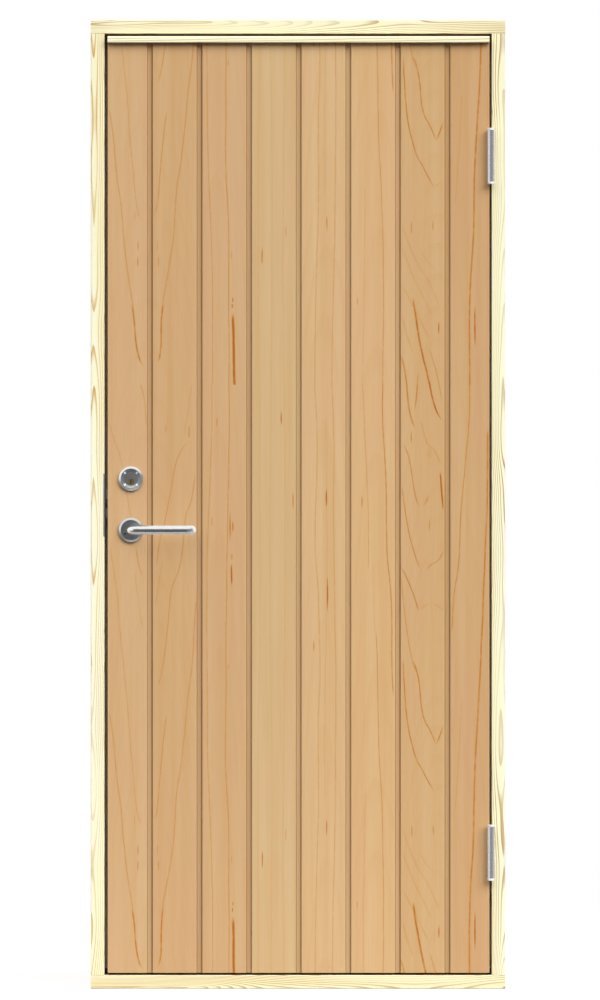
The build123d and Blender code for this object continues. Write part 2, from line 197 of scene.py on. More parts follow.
# Board 7's feathered figure, as drawn: strength, half width, then (height, across), all in mm
FEATHERED_BOARD = 7
FEATHERED_LINES = [
    (0.55, 1.4, [(1204, 251), (1264, 236), (1297, 233)]),
    (0.55, 1.5, [(0, 233), (40, 227), (66, 219)]),
    (0.85, 1.4, [(1221, 309), (1251, 294), (1286, 285), (1297, 283)]),
    (0.75, 1.6, [(0, 283), (31, 275), (70, 266), (130, 255), (186, 247)]),
    (0.35, 1.2, [(1264, 309), (1297, 303)]),
    (0.35, 1.2, [(0, 303), (44, 292), (79, 281)]),
    (0.6, 1.1, [(1243, 251), (1281, 255), (1297, 256)]),
    (0.4, 1.1, [(0, 256), (27, 258)]),
    (0.16, 1.8, [(165, 305), (216, 283), (276, 249), (345, 223)]),
    (0.16, 1.8, [(147, 288), (186, 270), (238, 245), (298, 223)]),
    (0.2, 1.6, [(96, 283), (130, 266), (173, 245), (216, 223)]),
    (0.14, 1.6, [(242, 305), (263, 279), (298, 258)]),
    (0.2, 1.6, [(66, 249), (100, 236), (147, 223)]),
    (0.45, 3.4, [(813, 262), (822, 272), (828, 284)]),
    (0.45, 3.4, [(813, 311), (822, 300), (828, 288)]),
]
# Resin flecks of each board: strength, half width in mm, column, row, half length in rows
FLECKS = {
    1: [(0.8, 0.9, 138, 850, 5), (0.8, 0.9, 138, 866, 5), (0.5, 0.8, 134.5, 820, 4)],
    2: [
        (0.8, 1.1, 189, 432, 6), (0.6, 0.9, 166, 429, 4), (0.6, 0.9, 157.5, 850, 5),
        (0.8, 0.9, 158.5, 866, 5),
    ],
    3: [
        (1, 1.0, 233, 904, 2.5), (1, 1.0, 232.6, 910, 2.5), (1, 1.1, 230, 526, 14),
        (0.9, 1.3, 233, 527, 5), (0.9, 1.2, 232, 557, 3), (1.2, 1.5, 231.5, 575, 10),
        (0.7, 1.1, 212, 522, 5), (0.7, 1, 217, 422, 5), (0.6, 0.9, 228, 667, 3),
        (0.5, 0.9, 231.5, 860, 4),
    ],
    4: [(0.9, 1.2, 262, 860, 8), (0.5, 1, 286, 835, 6), (0.9, 1.2, 281.5, 418, 7), (0.8, 1.1, 293, 501, 9)],
    5: [
        (1, 1.4, 326.5, 498, 9), (1, 1.4, 327.5, 594, 17), (0.7, 1.1, 314, 646, 5),
        (0.8, 1.2, 327, 828, 8),
    ],
    6: [(0.7, 1.1, 362, 502, 6), (0.6, 1, 357, 905, 4)],
    7: [
        (0.8, 1.1, 411.5, 832, 6), (0.7, 1, 433, 830, 5), (0.9, 1.2, 438.5, 932, 6),
        (0.8, 1.1, 411, 437, 6), (0.8, 1.2, 429.5, 525, 6), (0.3, 5.0, 430, 453.3, 6.5),
    ],
    8: [(1.1, 1.3, 475, 931, 18), (0.4, 0.9, 452, 730, 3)],
}


def from_picture(column, row):
    """A picture point on the boards as (height, across) in whole mm."""
    return round((FOOT_ROW - row) * ROW_MM), round((column - MIDDLE_COLUMN) * ROW_MM)


def board_lines(number):
    """A board's grain lines, each with its points as (height, across) in mm, from the foot up."""
    found = []
    for strength, width, spots in GRAIN_LINES[number]:
        found.append((strength, width, sorted(from_picture(*spot) for spot in spots)))
    return found + FEATHERED_LINES if number == FEATHERED_BOARD else found


# Node helpers
def put(tree, kind, inputs=None, **settings):
    """Adds a node, sets it up, and gives its inputs values or joins them to other nodes' sockets."""
    made = tree.nodes.new(kind)
    for key, value in settings.items():
        setattr(made, key, value)
    for key, value in (inputs or {}).items():
        if isinstance(value, bpy.types.NodeSocket):
            tree.links.new(value, made.inputs[key])
        else:
            made.inputs[key].default_value = value
    return made


def maths(tree, operation, *terms, clamp=False):
    """One sum on up to three terms; gives its output socket."""
    made = put(tree, "ShaderNodeMath", dict(enumerate(terms)), operation=operation)
    made.use_clamp = clamp
    return made.outputs[0]


def ease(tree, value, low, high, to_low=0.0, to_high=1.0):
    """Takes value from low..high to to_low..to_high along a smooth step."""
    inputs = {"Value": value, "From Min": low, "From Max": high, "To Min": to_low, "To Max": to_high}
    return put(tree, "ShaderNodeMapRange", inputs, interpolation_type="SMOOTHSTEP").outputs["Result"]


def mixed(tree, factor, first, second, blend="MIX"):
    """Mixes two colours."""
    made = put(tree, "ShaderNodeMix", {"Factor": factor}, data_type="RGBA", blend_type=blend)
    for slot, value in ((6, first), (7, second)):
        if isinstance(value, bpy.types.NodeSocket):
            tree.links.new(value, made.inputs[slot])
        else:
            made.inputs[slot].default_value = value
    return made.outputs[2]


def stretched_noise(tree, place, scale, detail=2.0, shift=(0.0, 0.0, 0.0)):
    """Noise whose waves per metre differ along the three axes; about 0.5 on average."""
    mapped = put(tree, "ShaderNodeMapping", {"Vector": place, "Location": shift, "Scale": scale})
    inputs = {"Vector": mapped.outputs[0], "Scale": 1.0, "Detail": detail, "Roughness": 0.55}
    return put(tree, "ShaderNodeTexNoise", inputs).outputs[0]


def new_group(name, inputs, outputs):
    """An empty shader group with number or vector inputs and number outputs."""
    tree = bpy.data.node_groups.new(name, "ShaderNodeTree")
    for label, value in inputs.items():
        kind = "NodeSocketVector" if value is None else "NodeSocketFloat"
        made = tree.interface.new_socket(label, in_out="INPUT", socket_type=kind)
        if value is not None:
            made.default_value = value
    for label in outputs:
        tree.interface.new_socket(label, in_out="OUTPUT", socket_type="NodeSocketFloat")
    return tree, tree.nodes.new("NodeGroupInput").outputs, tree.nodes.new("NodeGroupOutput").inputs


def use_group(tree, group, inputs):
    """Places a group in a material; gives its outputs."""
    return put(tree, "ShaderNodeGroup", inputs, node_tree=group).outputs


# Shared effects
def make_growth_rings():
    """Rings about a leaning, wavering pith: distance from the pith over the ring width, and the end
    of each ring darkens to a thin late line. Also the slow tone and the fine fibres along the grain.
    The vector is (across, depth, along) in metres."""
    names = {
        "Place": None, "Pith Across": 0.0, "Pith Depth": 0.1, "Lean Across": 0.0, "Lean Depth": 0.0,
        "Ring Width": 0.006, "Wobble": 0.003, "Late Share": 0.3, "Shift": 0.0,
    }
    tree, take, give = new_group("growth_rings", names, ["Late", "Tone", "Fibre"])
    shifted = put(tree, "ShaderNodeCombineXYZ", {"Z": take["Shift"]}).outputs[0]
    place = put(tree, "ShaderNodeVectorMath", {0: take["Place"], 1: shifted}, operation="ADD").outputs[0]
    apart = put(tree, "ShaderNodeSeparateXYZ", {0: take["Place"]}).outputs
    wander = []
    for axis, (pith, lean) in enumerate((("Pith Across", "Lean Across"), ("Pith Depth", "Lean Depth"))):
        wave = stretched_noise(tree, place, (5.0, 5.0, 1.8), 1.5, (3.1 * axis, 7.7 * axis, 1.3))
        swing = maths(tree, "MULTIPLY", maths(tree, "SUBTRACT", wave, 0.5), take["Wobble"])
        centre = maths(tree, "MULTIPLY_ADD", apart[2], take[lean], take[pith])
        wander.append(maths(tree, "ADD", maths(tree, "SUBTRACT", apart[axis], centre), swing))
    square = maths(tree, "ADD", *(maths(tree, "MULTIPLY", w, w) for w in wander))
    turns = maths(tree, "DIVIDE", maths(tree, "SQRT", square), take["Ring Width"])
    uneven = stretched_noise(tree, place, (9.0, 9.0, 0.6), 1.0, (5.0, 2.0, 8.0))
    share = maths(tree, "FRACT", maths(tree, "MULTIPLY_ADD", uneven, 1.6, turns))
    rise = ease(tree, share, maths(tree, "SUBTRACT", 1.0, take["Late Share"]), 0.93)
    fall = ease(tree, share, 0.95, 1.0, 1.0, 0.0)
    patches = stretched_noise(tree, place, (22.0, 22.0, 2.3), 1.0, (1.0, 4.0, 2.0))
    strength = ease(tree, patches, 0.3, 0.7, 0.25, 1.0)
    tree.links.new(maths(tree, "MULTIPLY", maths(tree, "MULTIPLY", rise, fall), strength), give["Late"])
    broad = stretched_noise(tree, place, (42.0, 42.0, 0.9), 2.0, (2.0, 6.0, 4.0))
    tree.links.new(ease(tree, broad, 0.25, 0.75), give["Tone"])
    fine = stretched_noise(tree, place, (520.0, 520.0, 9.0), 3.0)
    tree.links.new(ease(tree, fine, 0.2, 0.8), give["Fibre"])
    return tree


def make_grain_line():
    """One grain line: full where the place across equals the line's own place there, falling away over
    the half width, and faded in and out at its two ends. Lengths across are mm, heights 0 to 1."""
    names = {
        "Across": 0.0, "Line": 0.0, "Along": 0.0, "Start": 0.0, "End": 1.0,
        "Half Width": 1.0, "Strength": 1.0,
    }
    tree, take, give = new_group("grain_line", names, ["Mask"])
    off = maths(tree, "DIVIDE", maths(tree, "SUBTRACT", take["Across"], take["Line"]), take["Half Width"])
    near = maths(tree, "DIVIDE", 1.0, maths(tree, "MULTIPLY_ADD", off, off, 1.0))
    core = ease(tree, near, 0.10, 0.80)
    start = ease(tree, maths(tree, "SUBTRACT", take["Along"], take["Start"]), -0.006, 0.012)
    end = ease(tree, maths(tree, "SUBTRACT", take["End"], take["Along"]), -0.006, 0.012)
    kept = maths(tree, "MULTIPLY", maths(tree, "MULTIPLY", start, end), take["Strength"])
    tree.links.new(maths(tree, "MULTIPLY", core, kept), give["Mask"])
    return tree


def make_fleck():
    """A short resin fleck: full at its middle and falling away with the square of the distance from it,
    measured in its half width and half length."""
    names = {
        "Across": 0.0, "Along": 0.0, "Middle Across": 0.0, "Middle Along": 0.0,
        "Half Width": 1.0, "Half Length": 10.0, "Strength": 1.0,
    }
    tree, take, give = new_group("fleck", names, ["Mask"])
    terms = []
    ways = (("Across", "Middle Across", "Half Width"), ("Along", "Middle Along", "Half Length"))
    for place, middle, half in ways:
        step = maths(tree, "DIVIDE", maths(tree, "SUBTRACT", take[place], take[middle]), take[half])
        terms.append(maths(tree, "MULTIPLY", step, step))
    far = maths(tree, "ADD", *terms)
    full = ease(tree, far, 0.2, 1.8, 1.0, 0.0)
    tree.links.new(maths(tree, "MULTIPLY", full, take["Strength"]), give["Mask"])
    return tree


def make_brushed():
    """Fine scratches along one direction and slow smudges: stretched noise at two scales."""
    tree, take, give = new_group("brushed", {"Place": None}, ["Scratch", "Smudge"])
    fine = stretched_noise(tree, take["Place"], (60.0, 2600.0, 2600.0), 3.0)
    tree.links.new(ease(tree, fine, 0.25, 0.75), give["Scratch"])
    slow = stretched_noise(tree, take["Place"], (35.0, 35.0, 35.0), 3.0)
    tree.links.new(ease(tree, slow, 0.3, 0.7), give["Smudge"])
    return tree


growth_rings = make_growth_rings()
grain_line = make_grain_line()
fleck = make_fleck()
brushed = make_brushed()


# Materials
def new_material(name):
    """An empty material with its shader; gives it with its tree, its shader and the place."""
    material = bpy.data.materials.new(name)
    material.use_nodes = True
    tree = material.node_tree
    tree.nodes.clear()
    shader = put(tree, "ShaderNodeBsdfPrincipled")
    put(tree, "ShaderNodeOutputMaterial", {"Surface": shader.outputs[0]})
    place = put(tree, "ShaderNodeTexCoord").outputs["Object"]
    return material, tree, shader, place


def roughen(tree, shader, height, strength, distance):
    """Joins a height to the shader's normal through a Bump node."""
    bump = put(tree, "ShaderNodeBump", {"Height": height, "Strength": strength, "Distance": distance})
    tree.links.new(bump.outputs[0], shader.inputs["Normal"])


def grain_place(tree, place, along):
    """The place as (across, depth, along), for grain that runs along X or along Z."""
    if along == "Z":
        return place
    apart = put(tree, "ShaderNodeSeparateXYZ", {0: place}).outputs
    return put(tree, "ShaderNodeCombineXYZ", {0: apart[2], 1: apart[1], 2: apart[0]}).outputs[0]


def finish_wood(tree, shader, colour, fibre, late, rough=0.58, sheen=0.3):
    """Colour, a roughness that follows the fibres, and a slight relief of fibres and late lines."""
    tree.links.new(colour, shader.inputs["Base Color"])
    tree.links.new(ease(tree, fibre, 0.0, 1.0, rough - 0.06, rough + 0.06), shader.inputs["Roughness"])
    shader.inputs["Specular IOR Level"].default_value = sheen
    height = maths(tree, "MULTIPLY_ADD", late, 0.6, fibre)
    roughen(tree, shader, height, 0.12, 0.0004)


def timber(name, along, pale, body, late, sheen=0.3, **pith):
    """Planed softwood: pale early wood, a warmer slow tone and tan late lines."""
    material, tree, shader, place = new_material(name)
    values = {key.replace("_", " ").title(): value for key, value in pith.items()}
    rings = use_group(tree, growth_rings, {"Place": grain_place(tree, place, along), **values})
    ground = mixed(tree, rings["Tone"], tint(*pale), tint(*body))
    lined = mixed(tree, rings["Late"], ground, tint(*late))
    shade = ease(tree, rings["Fibre"], 0.0, 1.0, 0.97, 1.0)
    grey = put(tree, "ShaderNodeCombineColor", {0: shade, 1: shade, 2: shade}).outputs[0]
    colour = mixed(tree, 1.0, lined, grey, "MULTIPLY")
    finish_wood(tree, shader, colour, rings["Fibre"], rings["Late"], sheen=sheen)
    return material


def follow(tree, along, points, low, high):
    """A line's place across as a smooth curve of height; points are (height, across) in mm."""
    made = put(tree, "ShaderNodeFloatCurve", {"Value": along})
    curve = made.mapping.curves[0]
    spots = [(z / (FIGURE_REPEAT * MM), (x - low) / (high - low)) for z, x in points]
    for spot in spots[2:]:
        curve.points.new(*spot)
    for point, spot in zip(curve.points, sorted(spots)):
        point.location = spot
    made.mapping.update()
    return maths(tree, "MULTIPLY_ADD", made.outputs[0], high - low, low)


def groove_painted_shade(tree, depth):
    """Painted shade on the sloping sides of a groove, lighter on its floor and none on the face, set by depth
    behind the face.
    """
    below = maths(tree, "SUBTRACT", depth, FACE_Y)
    down = ease(tree, below, 0.0004, 0.0022)
    floor = ease(tree, below, 0.0036, 0.0046, 1.0, 0.32)
    return maths(tree, "MULTIPLY", down, floor)


def face_board(number, low, high, pith_across, pith_depth, lean_depth, ring_width, faint):
    """A face board: its own tint, faint rings, the main grain lines and the flecks."""
    material, tree, shader, place = new_material(f"face_board_{number}")
    rings = use_group(tree, growth_rings, {
        "Place": place, "Pith Across": pith_across, "Pith Depth": pith_depth, "Lean Depth": lean_depth,
        "Ring Width": ring_width, "Wobble": 0.004, "Late Share": 0.45, "Shift": 0.37 * number,
    })
    apart = put(tree, "ShaderNodeSeparateXYZ", {0: place}).outputs
    sway = stretched_noise(tree, place, (9.0, 0.0, 11.0), 2.0, (number, 0.0, 0.0))
    sway_mm = maths(tree, "MULTIPLY", maths(tree, "SUBTRACT", sway, 0.5), LINE_SWAY)
    across = maths(tree, "MULTIPLY_ADD", apart[0], MM, sway_mm)
    along = maths(tree, "FRACT", maths(tree, "DIVIDE", apart[2], FIGURE_REPEAT))
    marks = []
    for strength, width, points in board_lines(number):
        start, end = (points[k][0] / (FIGURE_REPEAT * MM) for k in (0, -1))
        if end > 0.99:
            end = 1.1  # runs on over the repeat
        if start < 0.01:
            start = -0.1
        marks.append(use_group(tree, grain_line, {
            "Across": across, "Line": follow(tree, along, points, low, high), "Along": along,
            "Start": start, "End": end, "Half Width": LINE_WIDEN * width,
            "Strength": LINE_STRENGTH.get(number, 1.0) * (LINE_BASE + strength),
        })[0])
    height = maths(tree, "MULTIPLY", along, FIGURE_REPEAT * MM)
    for strength, width, column, row, half_rows in FLECKS[number]:
        z, x = from_picture(column, row)
        marks.append(use_group(tree, fleck, {
            "Across": across, "Along": height, "Middle Across": x, "Middle Along": z,
            "Half Width": FLECK_WIDEN * width, "Half Length": round(half_rows * ROW_MM), "Strength": strength,
        })[0])
    total = marks[0]
    for mark in marks[1:]:
        total = maths(tree, "MAXIMUM", total, mark)
    broken = ease(tree, stretched_noise(tree, place, (90.0, 90.0, 60.0), 2.0), 0.25, 0.6, 0.65, 1.0)
    total = maths(tree, "MULTIPLY", total, broken)
    red, green, blue = BOARD_TINTS[number]
    paler, deeper = tint(red + 2, green + 4, blue + 5), tint(red - 2, green - 5, blue - 8)
    ground = mixed(tree, rings["Tone"], paler, deeper)
    blush = stretched_noise(tree, place, (11.0, 11.0, 2.2), 2.0, (number * 2.0, 0.0, 0.0))
    ground = mixed(tree, ease(tree, blush, 0.4, 0.75, 0.0, 0.5), ground, tint(red + 1, green - 4, blue + 1))
    ground = mixed(tree, maths(tree, "MULTIPLY", rings["Late"], faint), ground, tint(*LINE_TINT))
    shade = ease(tree, rings["Fibre"], 0.0, 1.0, 0.965, 1.01)
    grey = put(tree, "ShaderNodeCombineColor", {0: shade, 1: shade, 2: shade}).outputs[0]
    ground = mixed(tree, 1.0, ground, grey, "MULTIPLY")
    lined = mixed(tree, ease(tree, total, 0.0, 0.75), ground, tint(*LINE_TINT))
    colour = mixed(tree, ease(tree, total, 0.55, 1.1), lined, tint(*STREAK_TINT))
    # painted shade on the grooves' sloping sides, lighter on their floors
    colour = mixed(tree, groove_painted_shade(tree, apart[1]), colour, tint(*GROOVE_SHADE_TINT), "MULTIPLY")
    finish_wood(tree, shader, colour, rings["Fibre"], rings["Late"], 0.55)
    return material


def inner_boards():
    """The grooved panel inside: each board between two grooves takes its own slice of figure, by moving the
    rings' place across and along by a step for each board, and its own slight shift of tone."""
    material, tree, shader, place = new_material("inner_boards")
    apart = put(tree, "ShaderNodeSeparateXYZ", {0: place}).outputs
    turn = maths(tree, "DIVIDE", maths(tree, "SUBTRACT", apart[0], FIRST_GROOVE), BOARD_PITCH)
    board = maths(tree, "FLOOR", turn)
    middle = maths(tree, "MULTIPLY", maths(tree, "SUBTRACT", maths(tree, "FRACT", turn), 0.5), BOARD_PITCH)
    lot = put(tree, "ShaderNodeTexWhiteNoise", {"W": board}, noise_dimensions="1D").outputs["Value"]
    across = maths(tree, "MULTIPLY_ADD", lot, 0.12, middle)
    along = maths(tree, "MULTIPLY_ADD", board, 2.7, apart[2])
    slice_place = put(tree, "ShaderNodeCombineXYZ", {0: across, 1: apart[1], 2: along}).outputs[0]
    rings = use_group(tree, growth_rings, {
        "Place": slice_place, "Pith Across": 0.04, "Pith Depth": 0.16, "Lean Depth": 0.004,
        "Ring Width": 0.0075, "Wobble": 0.020, "Late Share": 0.28, "Shift": 10.0,
    })
    ground = mixed(tree, rings["Tone"], tint(218, 183, 137), tint(211, 172, 124))
    ground = mixed(tree, maths(tree, "MULTIPLY", lot, 0.5), ground, tint(206, 164, 116))
    lined = mixed(tree, maths(tree, "MULTIPLY", rings["Late"], 0.75), ground, tint(*LINE_TINT))
    # painted shade in the inner panel's grooves: darker with depth behind the inner face
    below = maths(tree, "SUBTRACT", INNER_FACE_Y, apart[1])
    groove_shade = ease(tree, below, 0.0003, 0.0014)
    colour = mixed(tree, groove_shade, lined, tint(*GROOVE_SHADE_TINT), "MULTIPLY")
    finish_wood(tree, shader, colour, rings["Fibre"], rings["Late"], 0.55)
    return material


def steel(name, colour, rough, turn=(0.0, 0.0, 0.0), scratch=0.10, metallic=1.0, caps=False, relief=0.03):
    """Brushed metal: fine scratches along one direction vary its colour, roughness and relief. The hinges'
    end caps, told apart by their height, get a white, non-metal colour: a painted highlight of the caps."""
    material, tree, shader, place = new_material(name)
    turned = put(tree, "ShaderNodeMapping", {"Vector": place, "Rotation": turn}).outputs[0]
    marks = use_group(tree, brushed, {"Place": turned})
    low, high = (tint(*(min(255, c + d) for c in colour)) for d in (-10, 8))
    colour_out = mixed(tree, marks["Scratch"], low, high)
    shader.inputs["Metallic"].default_value = metallic
    if caps:
        height = put(tree, "ShaderNodeSeparateXYZ", {0: place}).outputs[2]
        reach = [maths(tree, "ABSOLUTE", maths(tree, "SUBTRACT", height, z)) for z in HINGE_HEIGHTS.values()]
        end = ease(tree, maths(tree, "MINIMUM", *reach), HINGE_CAP - 0.0003, HINGE_CAP + 0.0003)
        # painted highlight: the hinge caps become white and non-metal
        colour_out = mixed(tree, end, colour_out, tint(*CAP_HIGHLIGHT_TINT))
        tree.links.new(maths(tree, "SUBTRACT", metallic, end, clamp=True), shader.inputs["Metallic"])
    tree.links.new(colour_out, shader.inputs["Base Color"])
    spread = maths(tree, "MULTIPLY_ADD", marks["Scratch"], scratch, rough)
    tree.links.new(maths(tree, "MULTIPLY_ADD", marks["Smudge"], 0.05, spread), shader.inputs["Roughness"])
    roughen(tree, shader, marks["Scratch"], relief, 0.0002)
    return material


def rubber(name, colour):
    """Matt rubber with a fine bloom."""
    material, tree, shader, place = new_material(name)
    bloom = stretched_noise(tree, place, (140.0, 140.0, 140.0), 3.0)
    dark, light = tint(*colour), tint(*(c + 14 for c in colour))
    tree.links.new(mixed(tree, ease(tree, bloom, 0.35, 0.7), dark, light), shader.inputs["Base Color"])
    tree.links.new(ease(tree, bloom, 0.3, 0.7, 0.62, 0.8), shader.inputs["Roughness"])
    roughen(tree, shader, bloom, 0.1, 0.0003)
    return material


PINE = {"pale": (255, 251, 214), "body": (248, 237, 188), "late": (178, 126, 48)}
PALE_PINE = {**PINE, "pale": (255, 253, 222), "body": (250, 241, 194), "late": (214, 170, 90)}
HINGE_PINE = {**PINE, "pale": (255, 254, 222), "body": (253, 245, 200)}
STRIP_PINE = {"pale": (255, 253, 226), "body": (252, 245, 206), "late": (212, 172, 96)}
CORE = {"pale": (238, 218, 168), "body": (230, 204, 148), "late": (200, 158, 98)}

finishes = {
    "frame_head": timber(
        "pine_head", "X", **PINE,
        pith_across=2.079, pith_depth=-0.032, lean_across=0.004, lean_depth=0.008, ring_width=0.0027,
        wobble=0.060, late_share=0.50, shift=0.2,
    ),
    "frame_sill": timber(
        "pine_sill", "X", **PINE,
        pith_across=0.002, pith_depth=-0.032, lean_across=-0.004, lean_depth=0.008, ring_width=0.0027,
        wobble=0.060, late_share=0.50, sheen=0.0, shift=1.9,
    ),
    "frame_lock_post": timber(
        "pine_lock_post", "Z", **PALE_PINE,
        pith_across=-0.444, pith_depth=-0.031, lean_across=0.004, lean_depth=0.004, ring_width=0.0030,
        wobble=0.045, late_share=0.38, shift=3.1,
    ),
    "frame_hinge_post": timber(
        "pine_hinge_post", "Z", **HINGE_PINE,
        pith_across=0.446, pith_depth=-0.032, lean_across=-0.004, lean_depth=0.004, ring_width=0.0027,
        wobble=0.050, late_share=0.40, shift=4.4,
    ),
    "drip_strip": timber(
        "pine_strip", "X", **STRIP_PINE,
        pith_across=2.12, pith_depth=0.0, lean_across=0.006, lean_depth=0.02, ring_width=0.0050,
        wobble=0.008, late_share=0.35, shift=5.2,
    ),
    "leaf_lock_stile": timber(
        "pine_lock_stile", "Z", **CORE,
        pith_across=-0.36, pith_depth=0.05, lean_depth=0.01, ring_width=0.0036, wobble=0.010,
        late_share=0.5, shift=6.0,
    ),
    "leaf_hinge_stile": timber(
        "pine_hinge_stile", "Z", **CORE,
        pith_across=0.36, pith_depth=0.05, lean_depth=0.01, ring_width=0.0036, wobble=0.010,
        late_share=0.5, shift=7.0,
    ),
    "leaf_top_rail": timber(
        "pine_top_rail", "X", **CORE,
        pith_across=1.98, pith_depth=0.05, lean_depth=0.02, ring_width=0.0038, wobble=0.010,
        late_share=0.5, shift=8.0,
    ),
    "leaf_bottom_rail": timber(
        "pine_bottom_rail", "X", **CORE,
        pith_across=0.08, pith_depth=0.05, lean_depth=0.02, ring_width=0.0038, wobble=0.010,
        late_share=0.5, shift=9.0,
    ),
}
finishes["leaf_inner_panel"] = inner_boards()

# Each face board's rings: pith across, pith depth, lean of the depth, ring width, strength of the lines
BOARD_RINGS = [
    (-0.318, 0.16, 0.05, 0.0050, 0.10), (-0.318, 0.16, 0.05, 0.0050, 0.10), (-0.17, 0.30, 0.01, 0.0030, 0.12),
    (-0.05, 0.60, 0.00, 0.0020, 0.10), (0.06, 0.40, 0.01, 0.0022, 0.12), (0.17, 0.40, 0.01, 0.0022, 0.12),
    (0.30, 0.10, 0.07, 0.0045, 0.10), (0.33, 0.30, 0.02, 0.0040, 0.12),
]
grooves = [FIRST_GROOVE + BOARD_PITCH * k for k in range(len(BOARD_RINGS) - 1)]
edges_mm = [round(MM * x) for x in (lows["board_1"][X], *grooves, highs["board_8"][X])]
for board, ring in enumerate(BOARD_RINGS, 1):
    finishes[f"board_{board}"] = face_board(board, edges_mm[board - 1], edges_mm[board], *ring)

# Turns for the scratches, which run along X without one
ALONG_Y, ALONG_Z = (0.0, 0.0, math.pi / 2), (0.0, math.pi / 2, 0.0)
handle_steel = steel("brushed_stainless", (247, 247, 247), 0.20, scratch=0.02, relief=0.002)
turned_steel = steel("turned_stainless", (220, 222, 222), 0.24, ALONG_Y)
hinge_steel = steel("zinc_hinge", (224, 223, 227), 0.20, ALONG_Z, 0.06, metallic=0.76, caps=True)
satin_steel = steel("satin_rose", (242, 243, 243), 0.27, ALONG_Y)
lock_steel = steel("zinc_lock", (186, 189, 190), 0.40, ALONG_Z, metallic=0.5)
lock_brass = steel("dull_brass", (150, 134, 92), 0.30, ALONG_Y, metallic=0.6)
# painted highlight: the slots' linings are nearly white and mostly non-metal, so they show bright from every
# side
notch_highlight = steel("notch_painted_highlight", (246, 246, 246), 0.14, scratch=0.04, metallic=0.20)
dark_steel = steel("dark_screw", (84, 86, 88), 0.40)
seal_rubber = rubber("seal_rubber", (208, 193, 166))
# painted shade: the sill's seal is much darker than the other seals, for the dark gap under the leaf
sill_rubber_painted_shade = rubber("sill_rubber_painted_shade", (54, 48, 39))

for name in nodes:
    if name.startswith("hinge_"):
        finishes[name] = hinge_steel
    elif name in ("cylinder_rose_outside", "lock_cylinder"):
        finishes[name] = satin_steel
    elif "rose" in name:
        finishes[name] = turned_steel
    elif name.startswith("lever") or name == "handle_spindle":
        finishes[name] = handle_steel
    elif name in ("strike_plate", "lock_case", "latch_bolt", "dead_bolt"):
        finishes[name] = lock_steel
    elif name == "key_plug":
        finishes[name] = lock_brass
    elif name.startswith("seal_"):
        finishes[name] = seal_rubber
for name, material in finishes.items():
    slots = nodes[name].data.materials
    slots.clear()
    slots.append(material)
    if name.startswith(("board_", "leaf_", "drip_")):
        nodes[name].visible_glossy = False  # the metal mirrors the white room, not the leaf close behind it


# New pieces
def grid_piece(name, points, material, body):
    """A mesh from points of shape (shells, rows, columns, 3): each shell a grid whose columns close up,
    with a fan at its first and last row where those rows have shrunk to one point."""
    shells, rows, columns = points.shape[:3]
    index = np.arange(shells * rows * columns).reshape(shells, rows, columns)
    after = np.roll(index, -1, axis=2)
    quads = np.stack([index[:, :-1], after[:, :-1], after[:, 1:], index[:, 1:]], axis=-1).reshape(-1, 4)
    mesh = bpy.data.meshes.new(name)
    mesh.from_pydata(points.reshape(-1, 3).tolist(), [], quads.tolist())
    mesh.update()
    piece = bpy.data.objects.new(name, mesh)
    bpy.context.scene.collection.objects.link(piece)
    work = bmesh.new()
    work.from_mesh(mesh)
    bmesh.ops.remove_doubles(work, verts=work.verts, dist=1e-6)
    bmesh.ops.dissolve_degenerate(work, edges=work.edges, dist=1e-7)
    bmesh.ops.recalc_face_normals(work, faces=work.faces)
    work.to_mesh(mesh)
    work.free()
    mesh.shade_smooth()
    mesh.set_sharp_from_angle(angle=math.radians(32.0))
    mesh.materials.append(material)
    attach(piece, body)
    return piece


def seal_strip(node, along, out):
    """A hollow-bulb seal: its section is a flat foot with a rounded bulb that leans over it, given as
    (across the strip, towards the leaf) in parts of the strip's width and thickness, carried straight
    along the strip between the ends of its CAD box."""
    low, high = (np.array(c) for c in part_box(node))
    turn = np.linspace(0.0, math.pi, 15)
    bulb = np.stack([0.52 - 0.30 * np.cos(turn), 0.30 + 0.70 * np.sin(turn) ** 0.8], axis=1)
    foot = np.array([[0.0, 0.0], [0.0, 0.22], [0.05, 0.30], [0.16, 0.30]])
    heel = np.array([[0.88, 0.30], [0.96, 0.30], [1.0, 0.22], [1.0, 0.0]])
    section = np.concatenate([foot, bulb, heel])
    across, run = (2, 0) if along == "X" else (0, 2)
    side = section[:, 0] if out > 0 else 1.0 - section[:, 0]
    ends = np.array([low[run], low[run], high[run], high[run]])
    points = np.zeros((1, 4, len(section), 3))
    points[..., across] = low[across] + side * (high[across] - low[across])
    points[..., 1] = high[1] - section[:, 1] * (high[1] - low[1])
    points[..., run] = ends[None, :, None]
    middle = points.mean(axis=2, keepdims=True)
    points[:, 0] = middle[:, 0]
    points[:, 3] = middle[:, 3]
    points[:, 0, :, run] = low[run]
    points[:, 3, :, run] = high[run]
    # the sill's seal takes the darker rubber, painted shade in the bottom gap
    material = sill_rubber_painted_shade if node == "seal_sill" else seal_rubber
    piece = grid_piece(node + "_profile", points, material, "frame")
    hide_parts(node)


seal_strip("seal_head", "X", -1)
seal_strip("seal_sill", "X", 1)
seal_strip("seal_lock_side", "Z", 1)
seal_strip("seal_hinge_side", "Z", -1)


